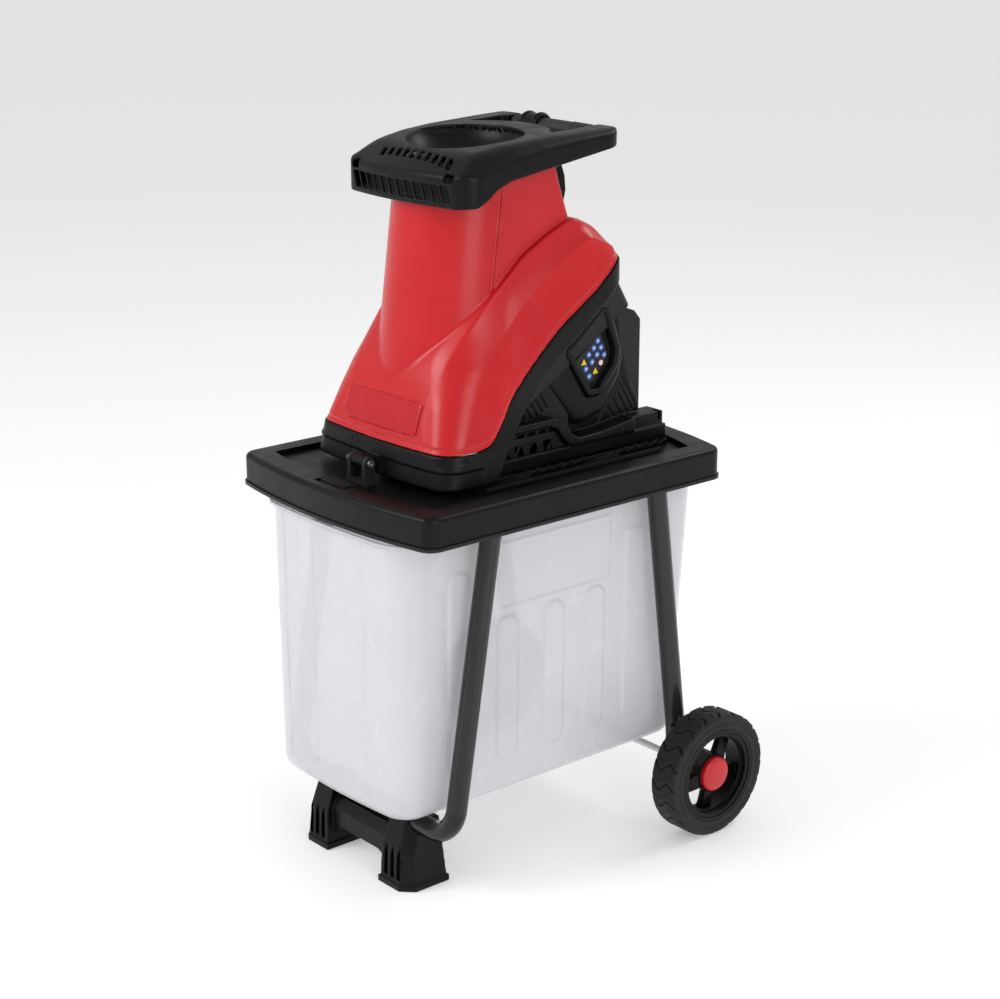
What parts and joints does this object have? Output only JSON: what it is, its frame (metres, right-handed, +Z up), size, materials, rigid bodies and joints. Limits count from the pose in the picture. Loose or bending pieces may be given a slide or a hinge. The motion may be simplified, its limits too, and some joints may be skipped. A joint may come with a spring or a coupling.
{
  "type": "garden shredder",
  "caption": "Electric wood chipper: feed tower with inclined cutter and motor on a wheeled tubular stand, over a translucent pull-out collection box.",
  "frame": {"origin": "on the floor under the middle of the overall box", "axes": "+X the machine's right seen from its front, +Y rearwards (wheels and motor), +Z up"},
  "size_m": [0.514, 0.5856, 0.998],
  "materials": {
    "moulded_black": "fine-grained satin polypropylene",
    "red_shell": "satin red ABS",
    "red_cap": "satin red",
    "clear_box": "milky translucent polypropylene",
    "black_tube": "gloss black powder coat",
    "rubber_tyre": "moulded rubber",
    "soft_grip": "ribbed soft grip",
    "bright_steel": "zinc plated",
    "blade_steel": "ground tool steel",
    "gear_steel": "machined",
    "bearing_steel": "polished",
    "laminated_iron": "laminated",
    "copper": "enamelled wire",
    "carbon": "graphite",
    "label_film": "printed film",
    "green_button": "satin",
    "red_button": "satin",
    "dark_button": "satin"
  },
  "bodies": {
    "chassis": {"deck_table": "moulded_black", "hinge_ears": "moulded_black", "hinge_pin": "bright_steel", "front_leg_tube": "black_tube", "front_foot": "moulded_black", "foot_clamps": "moulded_black", "leg_screws": "bright_steel", "axle": "bright_steel", "axle_spacers": "moulded_black", "rear_leg_right": "black_tube", "rear_leg_left": "black_tube", "box_rail_right": "moulded_black", "box_rail_left": "moulded_black", "lower_housing": "moulded_black", "motor_housing": "moulded_black", "safety_label": "label_film", "rear_pedestal": "moulded_black", "switch_box": "moulded_black", "mains_inlet": "moulded_black", "inlet_pins": "bright_steel", "chip_deflector": "moulded_black", "base_screws": "bright_steel", "spindle_bearing": "bearing_steel", "stator_core": "laminated_iron", "field_coils": "copper", "carbon_brushes": "carbon", "brush_holders": "moulded_black", "front_bearing": "bearing_steel", "rear_bearing": "bearing_steel"},
    "upper_housing": {"hood": "red_shell", "rim_frame": "moulded_black", "badge_plate": "red_shell", "hopper": "moulded_black", "handle_grip": "soft_grip", "feed_chute": "moulded_black"},
    "tamper": {"tamper": "moulded_black"},
    "locking_knob": {"locking_knob": "moulded_black", "locking_screw": "bright_steel"},
    "collection_box": {"collection_box": "clear_box"},
    "box_lock_slider": {"box_lock_slider": "moulded_black"},
    "wheel_right": {"tyre_right": "rubber_tyre", "wheel_rim_right": "moulded_black", "hub_cap_right": "red_cap"},
    "wheel_left": {"tyre_left": "rubber_tyre", "wheel_rim_left": "moulded_black", "hub_cap_left": "red_cap"},
    "cutter": {"spindle": "bright_steel", "cutter_disc": "blade_steel", "cutter_blades": "blade_steel", "blade_screws": "bright_steel", "disc_nut": "bright_steel", "drive_gear": "gear_steel"},
    "armature": {"armature_shaft": "bright_steel", "pinion": "gear_steel", "cooling_fan": "moulded_black", "rotor_core": "laminated_iron", "commutator": "copper"},
    "start_button": {"start_button": "green_button"},
    "stop_button": {"stop_button": "red_button"},
    "reset_button": {"reset_button": "dark_button"}
  },
  "joints": [
    {"name": "hood_tilt", "type": "hinge", "parent": "chassis", "child": "upper_housing", "pos_m": [0, -0.22185, 0.575], "axis": [1, 0, 0], "range_deg": [0, 65]},
    {"name": "knob_turn", "type": "hinge", "parent": "upper_housing", "child": "locking_knob", "pos_m": [0, 0.115, 0.7876], "axis": [0, -0.515, 0.8572], "continuous": true},
    {"name": "tamper_lift", "type": "slide", "parent": "upper_housing", "child": "tamper", "axis": [0, 0, 1], "range_m": [0, 0.25]},
    {"name": "box_pull", "type": "slide", "parent": "chassis", "child": "collection_box", "axis": [0, -1, 0], "range_m": [0, 0.5]},
    {"name": "box_lock_slide", "type": "slide", "parent": "chassis", "child": "box_lock_slider", "axis": [0, 1, 0], "range_m": [0, 0.008]},
    {"name": "wheel_right_spin", "type": "hinge", "parent": "chassis", "child": "wheel_right", "pos_m": [0.234, 0.20305, 0.0898], "axis": [1, 0, 0], "continuous": true},
    {"name": "wheel_left_spin", "type": "hinge", "parent": "chassis", "child": "wheel_left", "pos_m": [-0.234, 0.20305, 0.0898], "axis": [1, 0, 0], "continuous": true},
    {"name": "cutter_spin", "type": "hinge", "parent": "chassis", "child": "cutter", "pos_m": [0, 0.04251, 0.70438], "axis": [0, -0.515, 0.8572], "continuous": true},
    {"name": "armature_spin", "type": "hinge", "parent": "chassis", "child": "armature", "pos_m": [0, 0.10048, 0.68555], "axis": [0, -0.515, 0.8572], "continuous": true},
    {"name": "start_press", "type": "slide", "parent": "chassis", "child": "start_button", "axis": [0, -1, 0], "range_m": [0, 0.004], "stiffness_N_per_m": 400},
    {"name": "stop_press", "type": "slide", "parent": "chassis", "child": "stop_button", "axis": [0, -1, 0], "range_m": [0, 0.004], "stiffness_N_per_m": 400},
    {"name": "reset_press", "type": "slide", "parent": "chassis", "child": "reset_button", "axis": [0, -1, 0], "range_m": [0, 0.003], "stiffness_N_per_m": 300}
  ],
  "couplings": [
    {"joint": "armature_spin", "follows": "cutter_spin", "ratio": -3}
  ]
}
